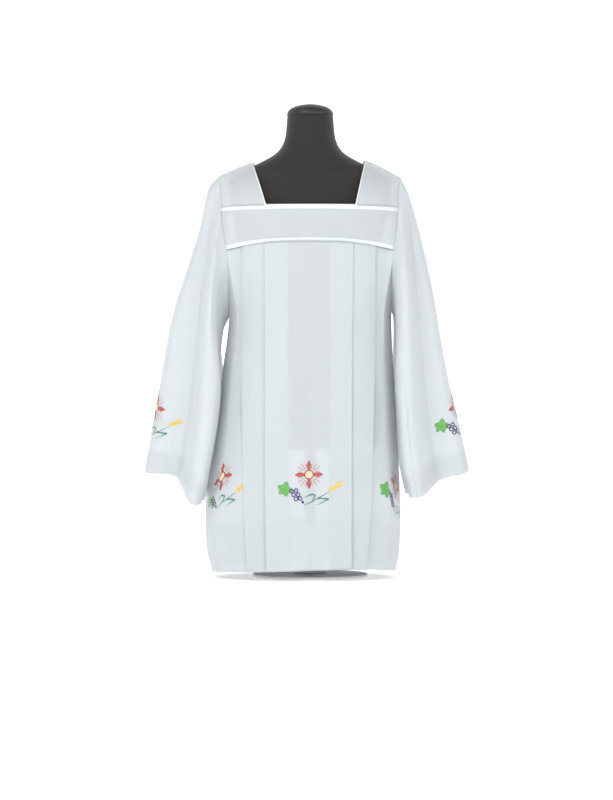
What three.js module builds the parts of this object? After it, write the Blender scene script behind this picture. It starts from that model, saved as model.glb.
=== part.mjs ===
// A surplice, worn by a limbless dress form that stands on a flat round base.
// The surplice has a square neck, a plain band across the chest and back, a double box pleat down
// the front and another down the back, and wide sleeves that hang with one deep crease each.
// Millimetres. Z is up, the front faces -Y, and +X is on the right of somebody looking at the front.
import * as THREE from 'three'

// Driving sizes.
const wall = 1.2 // thickness of every cloth wall
const seamGap = 0.8 // from one wall's edge to the next where two pieces are sewn together, at mid-wall
const underarmGap = 1.9 // the same under the arm, where the walls lie side by side
const floorZ = -6 // the hem hangs a little above the floor
const yokeSeamZ = 893 // seam between the yoke and the band, also the bottom of the neck opening
const bandSeamZ = 804 // seam between the band and the pleated skirt, at the middle
const bandSeamDrop = 18 // how far that seam falls towards the armholes
const backNeckZ = 952 // bottom of the neck opening at the back
const roundness = 2.4 // power of the rounded plan outline: 2 is an ellipse, more is squarer
const backDepthShare = 0.93 // the sleeve's back folds stand out a little less than its front ones
const formX = 3 // the dress form stands this far off the middle of the cloth

// Half sizes of the cloth's plan outline at each height, without the pleats.
const bodyRows = [
  { z: 893, left: 228, right: 228, front: 127, back: 110 },
  { z: 786, left: 222, right: 224, front: 132, back: 118 },
  { z: 682, left: 201, right: 206, front: 137, back: 124 },
  { z: 625, left: 193, right: 200, front: 140, back: 128 },
  { z: 473, left: 213, right: 207, front: 149, back: 140 },
  { z: 307, left: 234, right: 216, front: 159, back: 152 },
  { z: 174, left: 251, right: 222, front: 166, back: 161 },
  { z: 66, left: 249, right: 220, front: 169, back: 166 },
  { z: 7, left: 236, right: 210, front: 169, back: 166 }
]

// Where the pleats' folds lie, as distances from the middle, and how far apart the layers are.
// Outer is the edge of the strip beside the side panel, inner is the edge of the middle panel, and
// hidden is the fold behind the middle panel.
const pleatRows = [
  { z: 804, outerLeft: 158, outerRight: 158, innerLeft: 105, innerRight: 104, hidden: 52, pitch: 1.9 },
  { z: 593, outerLeft: 160, outerRight: 156, innerLeft: 102, innerRight: 100, hidden: 51, pitch: 2.6 },
  { z: 185, outerLeft: 152, outerRight: 145, innerLeft: 100, innerRight: 97, hidden: 50, pitch: 3.6 },
  { z: 15, outerLeft: 145, outerRight: 133, innerLeft: 97, innerRight: 96, hidden: 50, pitch: 4.0 }
]

// The runs of cloth from the middle of a skirt to its side seam. Layer 0 lies nearest to the form.
const pleatRuns = [
  { from: 'middle', to: 'inner', layer: 4, steps: 3 },
  { from: 'inner', to: 'hidden', layer: 3, steps: 1 },
  { from: 'hidden', to: 'outer', layer: 2, steps: 3 },
  { from: 'outer', to: 'inner', layer: 1, steps: 1 },
  { from: 'inner', to: 'sideSeam', layer: 0, steps: 8 }
]
const sideSeamShare = 0.5 // share of the side panel's width that is sewn to the band
const hemRows = [
  { place: 'middle', left: 20, right: 20 },
  { place: 'hidden', left: 18, right: 22 },
  { place: 'inner', left: 17, right: 24 },
  { place: 'outer', left: 14, right: 20 },
  { place: 'sideSeam', left: 7, right: 9 }
]

// Shoulder line of the cloth, as heights over distances from the middle.
const shoulderRows = {
  left: [{ x: 0, z: 1024 }, { x: 138, z: 1003.5 }, { x: 218, z: 972 }],
  right: [{ x: 0, z: 1024 }, { x: 137, z: 1008.5 }, { x: 222, z: 969 }]
}
const neckCorner = { left: 103, right: 111 } // bottom corners of the neck opening
const neckTop = { left: 138, right: 137 } // its upper corners, on the shoulder line
const backNeckCorner = 122
const facing = { side: 5, bottom: 6, lift: 0.7 } // the narrow facing laid round the neck opening

// Fold lines of each sleeve from the armhole down to the cuff: distance from the middle, and how far
// each line stands in front of the shoulder line. The back has the same lines.
const sleeveFolds = {
  left: {
    outer: [
      { z: 972, x: 218.6, y: 0 }, { z: 943, x: 244, y: 0 }, { z: 848, x: 265, y: 0 },
      { z: 750, x: 295, y: 0 }, { z: 669, x: 322, y: 0 }, { z: 596, x: 340, y: 0 },
      { z: 474, x: 361, y: 0 }, { z: 251, x: 400, y: 0 }
    ],
    crease: [
      { z: 934, x: 215, y: 40 }, { z: 899, x: 226, y: 48 }, { z: 845, x: 242, y: 54 },
      { z: 775, x: 250, y: 58 }, { z: 693, x: 263, y: 60 }, { z: 594, x: 274, y: 60 },
      { z: 473, x: 286, y: 60 }, { z: 323, x: 308, y: 56 }, { z: 238, x: 323, y: 50 }
    ],
    crest: [
      { z: 852, x: 210, y: 69 }, { z: 780, x: 226, y: 104 }, { z: 690, x: 238, y: 126 },
      { z: 560, x: 247, y: 138 }, { z: 380, x: 258, y: 146 }, { z: 183, x: 288, y: 150 }
    ],
    edge: [
      { z: 742, x: 194, y: 80 }, { z: 720, x: 207, y: 88 }, { z: 680, x: 216, y: 96 },
      { z: 593, x: 221, y: 108 }, { z: 473, x: 211, y: 116 }, { z: 384, x: 217, y: 122 },
      { z: 254, x: 240, y: 128 }, { z: 176, x: 259, y: 128 }
    ],
    under: [
      { z: 627, x: 194.6, y: 0 }, { z: 596, x: 208, y: 0 }, { z: 473, x: 222, y: 0 },
      { z: 307, x: 243, y: 0 }, { z: 196, x: 262, y: 0 }
    ]
  },
  right: {
    outer: [
      { z: 969, x: 222.6, y: 0 }, { z: 927, x: 243, y: 0 }, { z: 827, x: 272, y: 0 },
      { z: 753, x: 289, y: 0 }, { z: 672, x: 306, y: 0 }, { z: 596, x: 318, y: 0 },
      { z: 474, x: 340, y: 0 }, { z: 345, x: 370, y: 0 }, { z: 255, x: 390, y: 0 }
    ],
    crease: [
      { z: 932, x: 218, y: 40 }, { z: 890, x: 239, y: 46 }, { z: 823, x: 250, y: 52 },
      { z: 712, x: 261, y: 58 }, { z: 594, x: 272, y: 60 }, { z: 473, x: 284, y: 60 },
      { z: 334, x: 298, y: 58 }, { z: 230, x: 317, y: 52 }
    ],
    crest: [
      { z: 850, x: 213, y: 69 }, { z: 780, x: 226, y: 104 }, { z: 690, x: 236, y: 124 },
      { z: 560, x: 241, y: 136 }, { z: 380, x: 250, y: 144 }, { z: 196, x: 272, y: 148 }
    ],
    edge: [
      { z: 745, x: 200, y: 80 }, { z: 720, x: 205, y: 88 }, { z: 671, x: 208, y: 97 },
      { z: 593, x: 210, y: 108 }, { z: 490, x: 207, y: 116 }, { z: 385, x: 214, y: 122 },
      { z: 281, x: 222, y: 128 }, { z: 192, x: 241, y: 128 }
    ],
    under: [
      { z: 641, x: 201.6, y: 0 }, { z: 606, x: 211, y: 0 }, { z: 473, x: 215, y: 0 },
      { z: 307, x: 226, y: 0 }, { z: 206, x: 246, y: 0 }
    ]
  }
}
const foldOrder = ['outer', 'lobe', 'crease', 'crest', 'edge', 'under', 'edge', 'crest', 'crease', 'lobe']
const lobe = { x: 0.18, y: 0.68, z: 0.35 } // rounds the outer fold: shares of the way to the crease
const pointsPerFold = 3
const sleeveStations = [0, 0.035, 0.09, 0.18, 0.3, 0.45, 0.6, 0.8, 1]

// Half sizes of the dress form at each height.
const formRows = [
  { z: 307, half: 164, front: 118, back: 112 },
  { z: 330, half: 168, front: 121, back: 116 },
  { z: 420, half: 172, front: 122, back: 120 },
  { z: 560, half: 143, front: 104, back: 96 },
  { z: 640, half: 144, front: 106, back: 96 },
  { z: 740, half: 162, front: 118, back: 104 },
  { z: 820, half: 178, front: 124, back: 106 },
  { z: 880, half: 190, front: 120, back: 102 },
  { z: 920, half: 196, front: 110, back: 96 },
  { z: 945, half: 198, front: 98, back: 88 },
  { z: 962, half: 196, front: 86, back: 78 },
  { z: 975, half: 178, front: 76, back: 70 },
  { z: 990, half: 150, front: 70, back: 66 },
  { z: 1006, half: 117, front: 66, back: 62 },
  { z: 1024, half: 86, front: 63, back: 60 },
  { z: 1042, half: 70, front: 60, back: 58 },
  { z: 1066, half: 61, front: 57, back: 56 },
  { z: 1116, half: 56, front: 55, back: 55 }
]
const formRoundness = 2.2
const formPoints = 36
const cap = { bottom: 1116.4, rim: 1122, top: 1146, radius: 56.5 }
const post = { radius: 14, flange: 40, flangeHeight: 8 }
const base = { radius: 140, height: 8, bevel: 2 }

const colours = { cloth: '#e4eaec', form: '#272322', cap: '#2c2827', steel: '#c9cccf', base: '#e9e9e6' }

// Small helpers.
const mix = (a, b, share) => a + (b - a) * share

function readRow(rows, value, key = 'z') {
  // The row that a smooth curve through the table has at this value of its key column.
  const rising = rows[0][key] < rows[rows.length - 1][key]
  const list = rising ? rows : [...rows].reverse()
  const last = list.length - 1
  const inside = THREE.MathUtils.clamp(value, list[0][key], list[last][key])
  let i = 0
  while (i < last - 1 && inside > list[i + 1][key]) i += 1
  const [before, a, b, after] = [list[Math.max(i - 1, 0)], list[i], list[i + 1], list[Math.min(i + 2, last)]]
  const width = b[key] - a[key]
  const s = (inside - a[key]) / width
  const found = {}
  for (const name of Object.keys(a)) {
    const startSlope = ((b[name] - before[name]) / (b[key] - before[key])) * width
    const endSlope = ((after[name] - a[name]) / (after[key] - a[key])) * width
    const bend = (1 - 2 * s + s * s) * s * startSlope + (s - 1) * s * s * endSlope
    found[name] = a[name] + (3 - 2 * s) * s * s * (b[name] - a[name]) + bend
  }
  found[key] = value
  return found
}

function meshOf(name, points, faces, colour, roughness = 0.8, metalness = 0) {
  // A named mesh of these points and triangles, turned inside out if its volume comes out negative.
  let volume = 0
  for (const [a, b, c] of faces) volume += points[a].dot(points[b].clone().cross(points[c]))
  const geometry = new THREE.BufferGeometry()
  geometry.setAttribute('position', new THREE.Float32BufferAttribute(points.flatMap((p) => p.toArray()), 3))
  geometry.setIndex(faces.flatMap(([a, b, c]) => (volume < 0 ? [a, c, b] : [a, b, c])))
  geometry.computeVertexNormals()
  const mesh = new THREE.Mesh(geometry, new THREE.MeshStandardMaterial({ color: colour, roughness, metalness }))
  mesh.name = name
  return mesh
}

function wallMesh(name, outside, inside, closed) {
  // A cloth wall between two grids of the same size; closed joins the last column to the first.
  const rows = outside.length
  const columns = outside[0].length
  const points = [...outside.flat(), ...inside.flat()]
  const faces = []
  const at = (side, row, column) => side * rows * columns + row * columns + (column % columns)
  const quad = (a, b, c, d) => faces.push([a, b, c], [a, c, d])
  const lastColumn = closed ? columns : columns - 1
  for (let c = 0; c < lastColumn; c += 1) {
    for (let r = 0; r < rows - 1; r += 1) {
      quad(at(0, r, c), at(0, r + 1, c), at(0, r + 1, c + 1), at(0, r, c + 1))
      quad(at(1, r, c + 1), at(1, r + 1, c + 1), at(1, r + 1, c), at(1, r, c))
    }
    quad(at(0, 0, c), at(0, 0, c + 1), at(1, 0, c + 1), at(1, 0, c))
    quad(at(1, rows - 1, c), at(1, rows - 1, c + 1), at(0, rows - 1, c + 1), at(0, rows - 1, c))
  }
  for (let r = 0; r < rows - 1 && !closed; r += 1) {
    quad(at(1, r, 0), at(1, r + 1, 0), at(0, r + 1, 0), at(0, r, 0))
    quad(at(0, r, columns - 1), at(0, r + 1, columns - 1), at(1, r + 1, columns - 1), at(1, r, columns - 1))
  }
  return meshOf(name, points, faces, colours.cloth)
}

function gridNormals(grid, closed) {
  // Unit normals of a grid of points, from the differences of their neighbours.
  const rows = grid.length
  const columns = grid[0].length
  return grid.map((row, r) => row.map((_, c) => {
    const left = closed ? (c + columns - 1) % columns : Math.max(c - 1, 0)
    const right = closed ? (c + 1) % columns : Math.min(c + 1, columns - 1)
    const along = grid[Math.min(r + 1, rows - 1)][c].clone().sub(grid[Math.max(r - 1, 0)][c])
    const across = row[right].clone().sub(row[left])
    return along.cross(across).normalize()
  }))
}

function moved(grid, normals, distance) {
  return grid.map((row, r) => row.map((p, c) => p.clone().addScaledVector(normals[r][c], distance)))
}

function smoothWall(name, grid, closed = false) {
  // A wall centred on a smooth grid.
  const normals = gridNormals(grid, closed)
  return wallMesh(name, moved(grid, normals, wall / 2), moved(grid, normals, -wall / 2), closed)
}

// The body's surface. A face is -1 at the front and 1 at the back.
const hand = (x) => (x < 0 ? 'left' : 'right')

function outline(face, x, z) {
  // How far the plan outline stands out at a distance x from the middle.
  const row = readRow(bodyRows, z)
  const share = Math.min(Math.abs(x) / row[hand(x)], 1)
  const depth = face < 0 ? row.front : row.back
  return face * depth * (1 - share ** roundness) ** (1 / roundness)
}

function turnOf(x, z) {
  // The part of a quarter turn round the plan outline that reaches x: 0 is the middle, 1 the side.
  const share = Math.min(Math.abs(x) / readRow(bodyRows, z)[hand(x)], 1)
  return Math.asin(share ** (roundness / 2)) / (Math.PI / 2)
}

function planPoint(face, side, turn, z) {
  // The point of the plan outline at this part of a quarter turn.
  const row = readRow(bodyRows, z)
  const width = side < 0 ? row.left : row.right
  const depth = face < 0 ? row.front : row.back
  const angle = (turn * Math.PI) / 2
  const x = side * width * Math.sin(angle) ** (2 / roundness)
  const y = face * depth * Math.max(Math.cos(angle), 0) ** (2 / roundness)
  return new THREE.Vector3(x, y, z)
}

function planNormal(face, side, p) {
  const row = readRow(bodyRows, p.z)
  const width = side < 0 ? row.left : row.right
  const depth = face < 0 ? row.front : row.back
  const nx = (side * (Math.abs(p.x) / width) ** (roundness - 1)) / width
  const ny = (face * (Math.abs(p.y) / depth) ** (roundness - 1)) / depth
  return new THREE.Vector3(nx, ny, 0).normalize()
}

function archPoint(face, x, rise) {
  // Over the shoulder: rise 0 is the yoke seam, 1 the shoulder line, along a quarter of an ellipse.
  const top = readRow(shoulderRows[hand(x)], Math.abs(x), 'x').z
  const angle = (rise * Math.PI) / 2
  const y = outline(face, x, yokeSeamZ) * Math.cos(angle)
  return new THREE.Vector3(x, y, yokeSeamZ + (top - yokeSeamZ) * Math.sin(angle))
}

// The armhole is the sleeve's first ring, so the body's pieces end on it.
function sleeveRing(side, station) {
  // A smooth closed curve through the fold lines at this share of their lengths.
  const folds = sleeveFolds[side < 0 ? 'left' : 'right']
  const lineAt = (line) => readRow(line, mix(line[0].z, line[line.length - 1].z, station))
  const corners = foldOrder.map((name, i) => {
    let row = name === 'lobe' ? lineAt(folds.outer) : lineAt(folds[name])
    if (name === 'lobe') {
      const crease = lineAt(folds.crease)
      row = { x: mix(row.x, crease.x, lobe.x), y: crease.y * lobe.y, z: mix(row.z, crease.z, lobe.z) }
    }
    const depth = i > foldOrder.length / 2 ? row.y * backDepthShare : -row.y
    return new THREE.Vector3(side * row.x, depth, row.z)
  })
  return new THREE.CatmullRomCurve3(corners, true, 'catmullrom', 0.5)
}

const armholes = new Map()
for (const side of [-1, 1]) armholes.set(side, sleeveRing(side, 0).getPoints(400))

function armholePoint(face, side, z) {
  // The point of the armhole's front or back half that is nearest to this height.
  const ring = armholes.get(side).filter((p) => p.y * face > -1e-9)
  const nearest = ring.reduce((best, p) => (Math.abs(p.z - z) < Math.abs(best.z - z) ? p : best))
  const [tip, bottom] = [ring[0].z, Math.min(...ring.map((p) => p.z))]
  const low = THREE.MathUtils.smoothstep((tip - nearest.z) / (tip - bottom), 0.2, 0.7)
  return nearest.clone().setX(nearest.x - side * mix(seamGap, underarmGap, low))
}

function bandBottom(side, x, z) {
  // Height of the seam under the band at a distance from the middle.
  const reach = Math.abs(armholePoint(-1, side, z).x)
  return bandSeamZ - bandSeamDrop * Math.min(Math.abs(x) / reach, 1) ** 2.5
}

function bandGrid(face) {
  // The plain band between the two seams, from armhole to armhole. The fourth column from the middle
  // stands at the corner of the neck opening.
  const beyond = [0.25, 0.5, 0.72, 0.88, 1]
  const half = (side) => [0, 0.33, 0.67, 1].map((inner) => ({ side, inner, outer: 0 })).concat(
    beyond.map((outer) => ({ side, inner: 1, outer })))
  const columns = [...half(-1).reverse(), ...half(1).slice(1)]
  return [0, 0.33, 0.67, 1].map((down) => columns.map(({ side, inner, outer }) => {
    const top = yokeSeamZ - seamGap / 2
    const level = mix(top, bandSeamZ - bandSeamDrop, down)
    const end = armholePoint(face, side, level)
    const x = side * mix(neckCorner[side < 0 ? 'left' : 'right'] * inner, Math.abs(end.x), outer)
    const share = x / end.x
    const z = mix(top, bandBottom(side, x, level) + seamGap / 2, down)
    const y = outline(face, x, z)
    const pull = Math.abs(share) ** 8 * (end.y - outline(face, end.x, level))
    return new THREE.Vector3(x, y + pull, z)
  }))
}

function yokePoint(face, side, across, rise) {
  // Across 0 is the neck edge and 1 the armhole.
  const corner = neckCorner[side < 0 ? 'left' : 'right']
  const upper = neckTop[side < 0 ? 'left' : 'right']
  const shoulder = readRow(shoulderRows[side < 0 ? 'left' : 'right'], upper, 'x').z
  const lift = Math.sin((rise * Math.PI) / 2)
  const neckX = mix(corner, upper, lift)
  const tip = armholes.get(side)[0].z
  const height = mix(yokeSeamZ, tip, lift)
  const end = armholePoint(face, side, height)
  const x = side * mix(neckX, Math.abs(end.x), across)
  const p = archPoint(face, x, rise)
  const edge = archPoint(face, end.x, rise)
  const top = readRow(shoulderRows[side < 0 ? 'left' : 'right'], Math.abs(x), 'x').z
  p.addScaledVector(end.clone().sub(edge), across ** 6)
  p.z = Math.min(p.z, Math.max(shoulder, top))
  return p
}

const rises = [0, 0.2, 0.4, 0.58, 0.74, 0.88, 1]

function frontYokeGrid(side) {
  return rises.map((rise) => [0, 0.2, 0.4, 0.6, 0.8, 0.92, 1].map((across) => {
    const p = yokePoint(-1, side, across, rise)
    p.z += rise === 0 ? seamGap / 2 : 0
    p.y -= rise === 1 ? seamGap / 2 : 0
    return p
  }))
}

const neckSideShares = [0.04, 0.12, 0.3, 0.55, 0.8, 1] // down a side of the back neck opening
const neckShares = [0.66, 0.33] // along its bottom, from a corner to the middle

function backYokeGrid() {
  // One piece from armhole to armhole. Its top edge runs along a shoulder, down the side of the
  // neck opening, across the back neck and up again.
  const shoulderShares = [1, 0.9, 0.75, 0.5, 0.25, 0]
  const lineTo = (x, bottomX, topZ) => {
    const shoulder = readRow(shoulderRows[hand(x)], Math.abs(x), 'x').z
    const limit = Math.asin(Math.min((topZ - yokeSeamZ) / (shoulder - yokeSeamZ), 1)) / (Math.PI / 2)
    return rises.map((rise) => archPoint(1, mix(bottomX, x, rise), rise * limit))
  }
  const half = (side) => {
    const key = side < 0 ? 'left' : 'right'
    const [corner, upper] = [neckCorner[key], neckTop[key]]
    const ridge = readRow(shoulderRows[key], upper, 'x').z
    return [
      ...shoulderShares.map((across) => rises.map((rise) => yokePoint(1, side, across, rise))),
      ...neckSideShares.map((q) => lineTo(
        side * mix(upper, backNeckCorner, q), side * corner * mix(1, 0.9, q), mix(ridge, backNeckZ, q))),
      ...neckShares.map((q) => lineTo(side * backNeckCorner * q, side * corner * 0.9 * q, backNeckZ))
    ]
  }
  const lines = [...half(-1), lineTo(0, 0, backNeckZ), ...half(1).reverse()]
  return rises.map((rise, r) => lines.map((line) => {
    const p = line[r]
    p.z += r === 0 ? seamGap / 2 : 0
    p.y += r === rises.length - 1 && p.y < 1 ? seamGap / 2 : 0
    return p
  }))
}

// The pleated skirts.
function foldPlace(side, place, z) {
  // Distance from the middle of a named fold at this height.
  const row = readRow(pleatRows, z)
  const ending = side < 0 ? 'Left' : 'Right'
  const known = { middle: 0, hidden: row.hidden, inner: row[`inner${ending}`], outer: row[`outer${ending}`] }
  return known[place]
}

function hemHeight(side, place) {
  return hemRows.find((row) => row.place === place)[side < 0 ? 'left' : 'right']
}

function skirtColumn(face, side, run, share, rows) {
  // One line of points from the top edge down to the hem, at a share of the way along a run.
  const sideRun = run.to === 'sideSeam'
  const seamZ = bandSeamZ - bandSeamDrop
  const seamEnd = armholePoint(face, side, seamZ)
  const under = armholePoint(face, side, 0)
  const start = foldPlace(side, run.from, bandSeamZ)
  let top
  if (!sideRun) {
    const x = side * mix(start, foldPlace(side, run.to, bandSeamZ), share)
    const z = bandBottom(side, x, seamZ) - seamGap / 2
    top = new THREE.Vector3(x, outline(face, x, z), z)
  } else if (share <= sideSeamShare) {
    const x = side * mix(start, Math.abs(seamEnd.x), share / sideSeamShare)
    const z = bandBottom(side, x, seamZ) - seamGap / 2
    const pull = (share / sideSeamShare) ** 8 * (seamEnd.y - outline(face, seamEnd.x, seamZ))
    top = new THREE.Vector3(x, outline(face, x, z) + pull, z)
  } else {
    const around = (share - sideSeamShare) / (1 - sideSeamShare)
    const z = mix(seamZ, under.z, Math.sin((around * Math.PI) / 2) ** 0.9) - seamGap
    top = armholePoint(face, side, z)
    if (share === 1) top = under
    top.z = z
  }
  const hem = mix(hemHeight(side, run.from), hemHeight(side, run.to), share)
  return rows.map((down) => {
    const z = mix(top.z, hem, down)
    const place = (height) => {
      const from = foldPlace(side, run.from, height)
      if (sideRun) return mix(turnOf(side * from, height), 1, share)
      return turnOf(side * mix(from, foldPlace(side, run.to, height), share), height)
    }
    const p = planPoint(face, side, place(z), z)
    const meeting = planPoint(face, side, place(top.z), top.z)
    p.addScaledVector(top.clone().sub(meeting).setZ(0), (1 - down) ** 3)
    const normal = planNormal(face, side, planPoint(face, side, place(z), z))
    p.addScaledVector(normal, run.layer * readRow(pleatRows, z).pitch)
    p.y += share === 1 && sideRun ? (face * seamGap) / 2 : 0
    return p
  })
}

function sideways(path, distance) {
  // The path moved sideways in plan, with mitred corners.
  return path.map((p, i) => {
    const before = path[Math.max(i - 1, 0)]
    const after = path[Math.min(i + 1, path.length - 1)]
    const first = new THREE.Vector2(p.x - before.x, p.y - before.y).normalize()
    const second = new THREE.Vector2(after.x - p.x, after.y - p.y).normalize()
    if (i === 0) first.copy(second)
    if (i === path.length - 1) second.copy(first)
    const normal = new THREE.Vector2(-first.y - second.y, first.x + second.x).normalize()
    const stretch = 1 / Math.max(normal.dot(new THREE.Vector2(-first.y, first.x)), 0.5)
    return new THREE.Vector3(p.x + normal.x * distance * stretch, p.y + normal.y * distance * stretch, p.z)
  })
}

function skirtMesh(name, face) {
  const rows = [0, 0.07, 0.15, 0.25, 0.37, 0.5, 0.64, 0.78, 0.9, 1]
  const half = (side) => pleatRuns.flatMap((run) => {
    const shares = Array.from({ length: run.steps + 1 }, (_, i) => i / run.steps)
    return shares.map((share) => skirtColumn(face, side, run, share, rows))
  })
  const [left, right] = [half(-1), half(1)]
  const columns = [...left.reverse(), ...right.slice(1)]
  const grid = rows.map((_, r) => columns.map((column) => column[r]))
  const outside = grid.map((row) => sideways(row, wall / 2))
  const inside = grid.map((row) => sideways(row, -wall / 2))
  return wallMesh(name, outside, inside, false)
}

function sleeveMesh(name, side) {
  const grid = sleeveStations.map((station) => {
    const ring = sleeveRing(side, station).getPoints(foldOrder.length * pointsPerFold)
    return ring.slice(0, -1)
  })
  return smoothWall(name, grid, true)
}

function neckFacing(name, yokes, band, back) {
  // A narrow strip laid on the edge of the neck opening, made from the points of the pieces under it.
  const edge = []
  const add = (grid, row, column, width) => {
    const normal = gridNormals(grid, false)[row][column]
    const near = grid[row][column]
    if (normal.dot(new THREE.Vector3(0, near.y, near.z - yokeSeamZ)) < 0) normal.negate()
    edge.push({ near, normal, width })
  }
  const middle = (band[0].length - 1) / 2
  for (let c = middle - 3; c <= middle + 3; c += 1) add(band, 0, c, facing.bottom)
  for (let r = 1; r < rises.length; r += 1) add(yokes.right, r, 0, facing.side)
  const backMiddle = (back[0].length - 1) / 2
  const reach = neckSideShares.length + neckShares.length
  for (let c = reach; c >= -reach; c -= 1) add(back, back.length - 1, backMiddle + c, facing.side)
  for (let r = rises.length - 1; r > 0; r -= 1) add(yokes.left, r, 0, facing.side)
  const last = edge.length - 1
  edge.forEach((e, i) => {
    const next = edge[i === last ? 0 : i + 1].near
    const before = edge[i === 0 ? last : i - 1].near
    const away = e.normal.clone().cross(next.clone().sub(before)).normalize()
    e.far = e.near.clone().addScaledVector(away, -e.width)
  })
  const lift = wall / 2 + facing.lift
  const rowsOf = (distance) => [
    edge.map((e) => e.near.clone().addScaledVector(e.normal, distance)),
    edge.map((e) => e.far.clone().addScaledVector(e.normal, distance))
  ]
  return wallMesh(name, rowsOf(lift + wall), rowsOf(lift), true)
}

// The dress form.
function formMesh(name) {
  // Rounded rings stacked from the flat bottom to the neck, with flat ends.
  const heights = []
  formRows.slice(1).forEach((row, i) => {
    const below = formRows[i]
    const steps = row.z - below.z > 60 ? 3 : 1
    for (let s = 0; s < steps; s += 1) heights.push(mix(below.z, row.z, s / steps))
  })
  heights.push(formRows[formRows.length - 1].z)
  const points = heights.flatMap((z) => {
    const row = readRow(formRows, z)
    return Array.from({ length: formPoints }, (_, i) => {
      const angle = (i / formPoints) * 2 * Math.PI
      const [c, s] = [Math.cos(angle), Math.sin(angle)]
      const depth = s < 0 ? row.front : row.back
      const x = row.half * Math.sign(c) * Math.abs(c) ** (2 / formRoundness)
      const y = depth * Math.sign(s) * Math.abs(s) ** (2 / formRoundness)
      return new THREE.Vector3(formX + x, y, z)
    })
  })
  const faces = []
  for (let r = 0; r < heights.length - 1; r += 1) {
    for (let i = 0; i < formPoints; i += 1) {
      const [a, b] = [r * formPoints + i, r * formPoints + ((i + 1) % formPoints)]
      faces.push([a, b, b + formPoints], [a, b + formPoints, a + formPoints])
    }
  }
  const [bottom, top] = [points.length, points.length + 1]
  points.push(new THREE.Vector3(formX, 0, heights[0]), new THREE.Vector3(formX, 0, heights[heights.length - 1]))
  const lastRing = (heights.length - 1) * formPoints
  for (let i = 0; i < formPoints; i += 1) {
    const next = (i + 1) % formPoints
    faces.push([bottom, next, i], [top, lastRing + i, lastRing + next])
  }
  return meshOf(name, points, faces, colours.form, 0.85)
}

function turned(name, profile, colour, roughness, metalness, segments = 48) {
  // A turned piece. The profile's points are radius and height.
  const corners = profile.map(([radius, height]) => new THREE.Vector2(radius, height))
  const geometry = new THREE.LatheGeometry(corners, segments)
  geometry.rotateX(Math.PI / 2)
  geometry.translate(formX, 0, 0)
  const mesh = new THREE.Mesh(geometry, new THREE.MeshStandardMaterial({ color: colour, roughness, metalness }))
  mesh.name = name
  return mesh
}

function capMesh(name) {
  const dome = [0, 0.25, 0.5, 0.75, 1].map((share) => {
    const angle = (share * Math.PI) / 2
    const height = mix(cap.rim, cap.top, Math.sin(angle) ** 0.9)
    return [share === 1 ? 0 : cap.radius * Math.cos(angle), height]
  })
  return turned(name, [[0, cap.bottom], [cap.radius, cap.bottom], ...dome], colours.cap, 0.6, 0, formPoints)
}

const baseTop = floorZ + base.height
const formBottom = formRows[0].z - 0.4

const yokes = { left: frontYokeGrid(-1), right: frontYokeGrid(1) }
const chestBand = bandGrid(-1)
const backYoke = backYokeGrid()

const group = new THREE.Group()
group.add(
  smoothWall('front_yoke_left', yokes.left),
  smoothWall('front_yoke_right', yokes.right),
  smoothWall('back_yoke', backYoke),
  smoothWall('chest_band', chestBand),
  smoothWall('back_band', bandGrid(1)),
  skirtMesh('skirt_front', -1),
  skirtMesh('skirt_back', 1),
  sleeveMesh('sleeve_left', -1),
  sleeveMesh('sleeve_right', 1),
  neckFacing('neck_facing', yokes, chestBand, backYoke),
  formMesh('form_torso'),
  capMesh('form_neck_cap'),
  turned('form_post', [
    [0, baseTop + 0.4], [post.flange, baseTop + 0.4], [post.flange, baseTop + post.flangeHeight],
    [post.radius, baseTop + post.flangeHeight + 4], [post.radius, formBottom], [0, formBottom]
  ], colours.steel, 0.3, 1, 32),
  turned('form_base', [
    [0, floorZ], [base.radius, floorZ], [base.radius, baseTop - base.bevel],
    [base.radius - base.bevel, baseTop], [0, baseTop]
  ], colours.base, 0.5, 0)
)

// The origin is under the middle of the whole object, on the floor.
const box = new THREE.Box3().setFromObject(group)
const middle = box.getCenter(new THREE.Vector3())
group.position.set(-middle.x, -middle.y, -box.min.z)

export default group
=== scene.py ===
"""The looks of a surplice worn by a limbless dress form: sheer cloth shells, hems, seams, stitched
motifs and the form. Lengths are millimetres: x from the cloth's middle, y from its side seams and z
from 6 mm above the ground. placed() turns them into metres in the frame's place. The front faces -Y."""
import bpy
import mathutils
import numpy as np
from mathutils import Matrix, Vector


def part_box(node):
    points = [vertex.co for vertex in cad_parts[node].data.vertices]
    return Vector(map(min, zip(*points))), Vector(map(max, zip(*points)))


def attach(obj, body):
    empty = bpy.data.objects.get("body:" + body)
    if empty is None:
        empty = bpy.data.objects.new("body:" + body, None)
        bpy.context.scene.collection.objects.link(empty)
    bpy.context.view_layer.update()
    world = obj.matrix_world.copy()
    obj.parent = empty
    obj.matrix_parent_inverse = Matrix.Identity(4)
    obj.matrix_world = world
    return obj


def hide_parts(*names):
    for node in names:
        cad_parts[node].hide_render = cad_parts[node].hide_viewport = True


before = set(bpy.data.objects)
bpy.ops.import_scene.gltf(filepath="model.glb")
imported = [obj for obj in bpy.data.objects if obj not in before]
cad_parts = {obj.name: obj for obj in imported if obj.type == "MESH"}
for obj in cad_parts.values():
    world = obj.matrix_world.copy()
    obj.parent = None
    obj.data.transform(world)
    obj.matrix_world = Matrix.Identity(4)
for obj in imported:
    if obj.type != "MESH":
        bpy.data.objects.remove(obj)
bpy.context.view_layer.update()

# ---------------------------------------------------------------- sizes
FLOOR, FORM_X = -6.0, 3.0  # the hem hangs above the floor; the form stands a little off the middle
YOKE_SEAM, BAND_SEAM, BAND_DROP = 893.0, 804.0, 18.0
ROUND = 2.4  # power of the plan outline
BACK_SHARE = 0.93
BACK_NECK, BACK_CORNER = 952.0, 122.0
NECK_CORNER = {-1: 103.0, 1: 111.0}
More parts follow.
